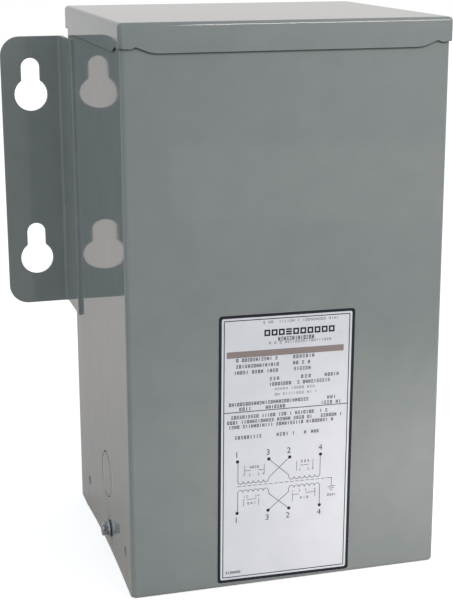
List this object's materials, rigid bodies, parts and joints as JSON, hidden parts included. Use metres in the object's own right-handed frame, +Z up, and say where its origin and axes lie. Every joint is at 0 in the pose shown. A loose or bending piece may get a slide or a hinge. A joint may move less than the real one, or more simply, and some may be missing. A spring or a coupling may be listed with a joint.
{
  "type": "general purpose transformer",
  "caption": "Single-phase dry-type transformer in a tall painted sheet-steel case, with a folded lid and keyhole ears for wall mounting.",
  "frame": {"origin": "under the middle of the whole unit, on the surface that it stands on", "axes": "+X to the right along the front, +Y from the front to the wall, +Z up"},
  "size_m": [0.268, 0.1902, 0.3276],
  "materials": {
    "case_paint": "semi-gloss baked grey enamel",
    "zinc_screw": "bright zinc plate",
    "zinc_washer": "dull zinc plate",
    "label_foil": "satin printed film",
    "casting_compound": "dark sand-filled casting compound"
  },
  "bodies": {
    "root": {"case_shell": "case_paint", "back_panel": "case_paint", "lid": "case_paint", "left_mounting_ear": "case_paint", "right_mounting_ear": "case_paint", "bottom_cover": "case_paint", "left_cover_screw": "zinc_screw", "right_cover_screw": "zinc_screw", "left_lock_washer": "zinc_washer", "right_lock_washer": "zinc_washer", "rating_label": "label_foil", "cast_block": "casting_compound"}
  },
  "joints": []
}
